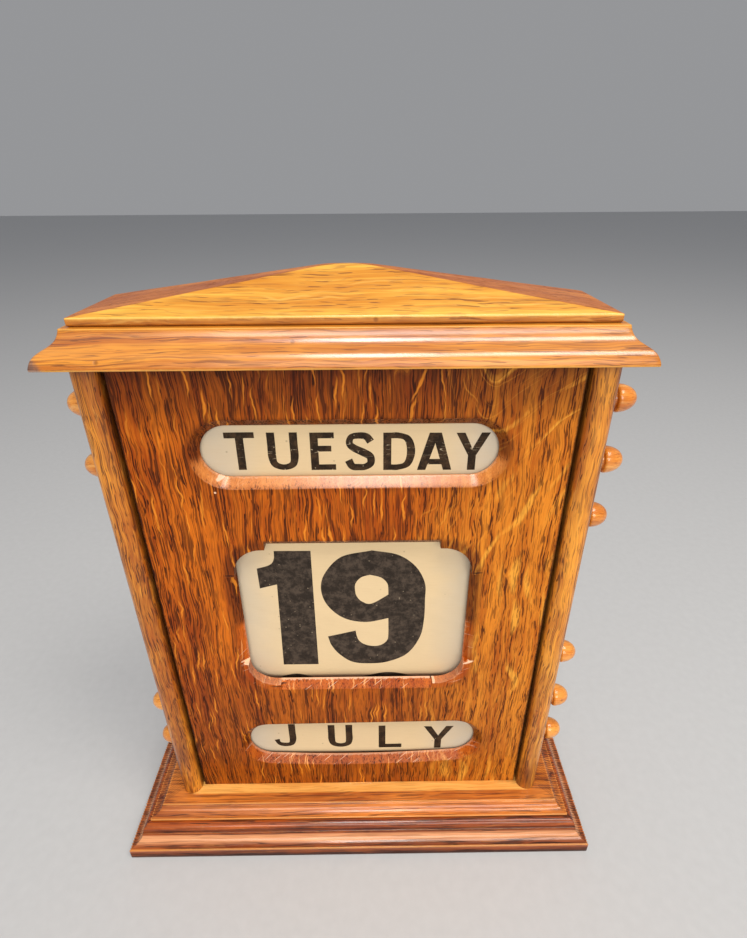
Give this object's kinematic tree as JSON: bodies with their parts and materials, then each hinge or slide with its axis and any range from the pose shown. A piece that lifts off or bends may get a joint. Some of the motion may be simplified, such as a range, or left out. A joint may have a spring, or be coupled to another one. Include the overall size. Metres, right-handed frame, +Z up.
{
  "type": "perpetual desk calendar",
  "caption": "Oak desk calendar: a tall case with three windows, each showing a printed linen band wound between two rollers turned by knobs at the sides.",
  "frame": {"origin": "middle of the underside of the base", "axes": "+Z up, the windows face -Y, +X to the right as one reads the calendar"},
  "size_m": [0.2552, 0.0782, 0.3073],
  "materials": {
    "case_oak": "French polished oak, golden, semi-gloss",
    "panel_oak": "French polished quarter-sawn oak, red-brown, semi-gloss",
    "base_oak": "French polished oak, dark red-brown, semi-gloss",
    "back_oak": "oiled oak, matt",
    "knob_wood": "turned and polished hardwood, glossy",
    "inner_wood": "plain turned softwood, matt",
    "linen": "sized linen, cream, matt, printed in black",
    "steel": "plain steel wood screws, dulled",
    "brass": "brass wood screws, tarnished"
  },
  "bodies": {
    "case": {"base_lower_board": "base_oak", "base_upper_board": "base_oak", "base_screws": "steel", "left_side_board": "case_oak", "right_side_board": "case_oak", "front_panel": "panel_oak", "left_panel_batten": "inner_wood", "right_panel_batten": "inner_wood", "back_panel": "back_oak", "back_panel_screws": "brass", "day_linen_band": "linen", "date_linen_band": "linen", "month_linen_band": "linen", "cornice_board": "case_oak", "cornice_screws": "steel", "pediment_block": "case_oak"},
    "day_upper_roll": {"day_upper_roller": "inner_wood", "day_upper_linen_roll": "linen", "day_upper_left_knob": "knob_wood", "day_upper_right_knob": "knob_wood"},
    "day_lower_roll": {"day_lower_roller": "inner_wood", "day_lower_linen_roll": "linen", "day_lower_left_knob": "knob_wood", "day_lower_right_knob": "knob_wood"},
    "date_upper_roll": {"date_upper_roller": "inner_wood", "date_upper_linen_roll": "linen", "date_upper_left_pin": "inner_wood", "date_upper_right_knob": "knob_wood"},
    "date_lower_roll": {"date_lower_roller": "inner_wood", "date_lower_linen_roll": "linen", "date_lower_left_pin": "inner_wood", "date_lower_right_knob": "knob_wood"},
    "month_upper_roll": {"month_upper_roller": "inner_wood", "month_upper_linen_roll": "linen", "month_upper_left_knob": "knob_wood", "month_upper_right_knob": "knob_wood"},
    "month_lower_roll": {"month_lower_roller": "inner_wood", "month_lower_linen_roll": "linen", "month_lower_left_knob": "knob_wood", "month_lower_right_knob": "knob_wood"}
  },
  "joints": [
    {"name": "day_upper_turn", "type": "hinge", "parent": "case", "child": "day_upper_roll", "pos_m": [0, 0.00576, 0.2539], "axis": [1, 0, 0], "range_deg": [-553.4, 277.2]},
    {"name": "day_lower_turn", "type": "hinge", "parent": "case", "child": "day_lower_roll", "pos_m": [0, 0.00576, 0.2253], "axis": [1, 0, 0], "range_deg": [-546.8, 273.4]},
    {"name": "date_upper_turn", "type": "hinge", "parent": "case", "child": "date_upper_roll", "pos_m": [0, 0.00831, 0.1949], "axis": [1, 0, 0], "range_deg": [-4169.3, 6253.4]},
    {"name": "date_lower_turn", "type": "hinge", "parent": "case", "child": "date_lower_roll", "pos_m": [0, 0.00831, 0.1063], "axis": [1, 0, 0], "range_deg": [-4477.3, 6715.9]},
    {"name": "month_upper_turn", "type": "hinge", "parent": "case", "child": "month_upper_roll", "pos_m": [0, 0.00576, 0.0746], "axis": [1, 0, 0], "range_deg": [-677.7, 813.1]},
    {"name": "month_lower_turn", "type": "hinge", "parent": "case", "child": "month_lower_roll", "pos_m": [0, 0.00576, 0.046], "axis": [1, 0, 0], "range_deg": [-680.1, 816.1]}
  ],
  "couplings": [
    {"joint": "day_upper_turn", "follows": "day_lower_turn", "ratio": 1.0102},
    {"joint": "date_upper_turn", "follows": "date_lower_turn", "ratio": 0.931},
    {"joint": "month_upper_turn", "follows": "month_lower_turn", "ratio": 0.9951}
  ]
}
